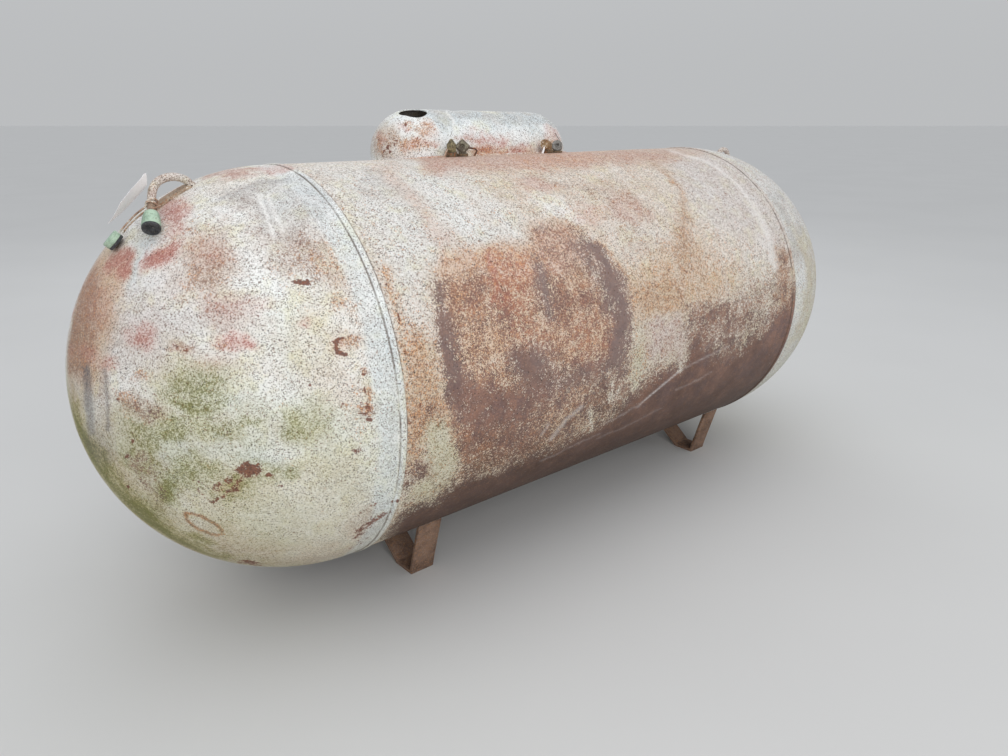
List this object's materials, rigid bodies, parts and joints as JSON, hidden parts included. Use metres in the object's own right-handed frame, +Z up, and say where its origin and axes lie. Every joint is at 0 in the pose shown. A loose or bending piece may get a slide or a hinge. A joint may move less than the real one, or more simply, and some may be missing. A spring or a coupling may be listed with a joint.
{
  "type": "horizontal pressure tank",
  "caption": "Weathered horizontal steel pressure tank with round ends, bent strap legs, lifting lugs and a long rounded hood with a vent hole on top.",
  "frame": {"origin": "on the floor under the middle of the tank's length, on its centre plane", "axes": "+X along the tank towards the end that is farther away in the picture, +Z up, -Y the side seen in the picture"},
  "size_m": [2.768, 1.072, 1.2897],
  "materials": {
    "shell_paint": "weathered off-white paint, worn through to dark red primer and rust",
    "head_paint": "weathered off-white paint with black specks, green film and pink primer patches",
    "weld_paint": "painted weld bead, light grey",
    "leg_rust": "rusted bare steel, matt",
    "hood_paint": "weathered off-white paint with rust freckles",
    "coupling_steel": "rusted steel",
    "plug_brass": "dull oxidised brass",
    "plug_steel": "dull grey steel",
    "elbow_rust": "rusted steel",
    "rod_rust": "rusted wire",
    "rod_white": "painted wire",
    "lug_paint": "weathered cream paint with rust",
    "pad_rust": "thin worn paint over rust",
    "hanger_green": "pale green paint",
    "hanger_black": "black, matt",
    "tag_white": "plain white card"
  },
  "bodies": {
    "root": {"shell": "shell_paint", "head_left": "head_paint", "head_right": "head_paint", "weld_left": "weld_paint", "weld_right": "weld_paint", "leg_front_left": "leg_rust", "leg_front_right": "leg_rust", "leg_back_left": "leg_rust", "leg_back_right": "leg_rust", "hood_cover": "hood_paint", "hood_foot_strip": "hood_paint", "coupling_brass": "coupling_steel", "plug_brass": "plug_brass", "coupling_square": "coupling_steel", "plug_square": "plug_steel", "coupling_elbow": "coupling_steel", "elbow": "elbow_rust", "coupling_cap": "coupling_steel", "cap_disc": "plug_steel", "rod_left": "rod_rust", "rod_middle": "rod_rust", "rod_right": "rod_white", "lug_left": "lug_paint", "lug_right": "lug_paint", "lug_pad_left": "pad_rust", "lug_pad_right": "pad_rust", "hanger_near": "hanger_green", "hanger_far": "hanger_green", "hanger_far_face": "hanger_black", "hanger_near_face": "hanger_black", "hanger_rods": "rod_rust", "blank_tag": "tag_white"}
  },
  "joints": []
}
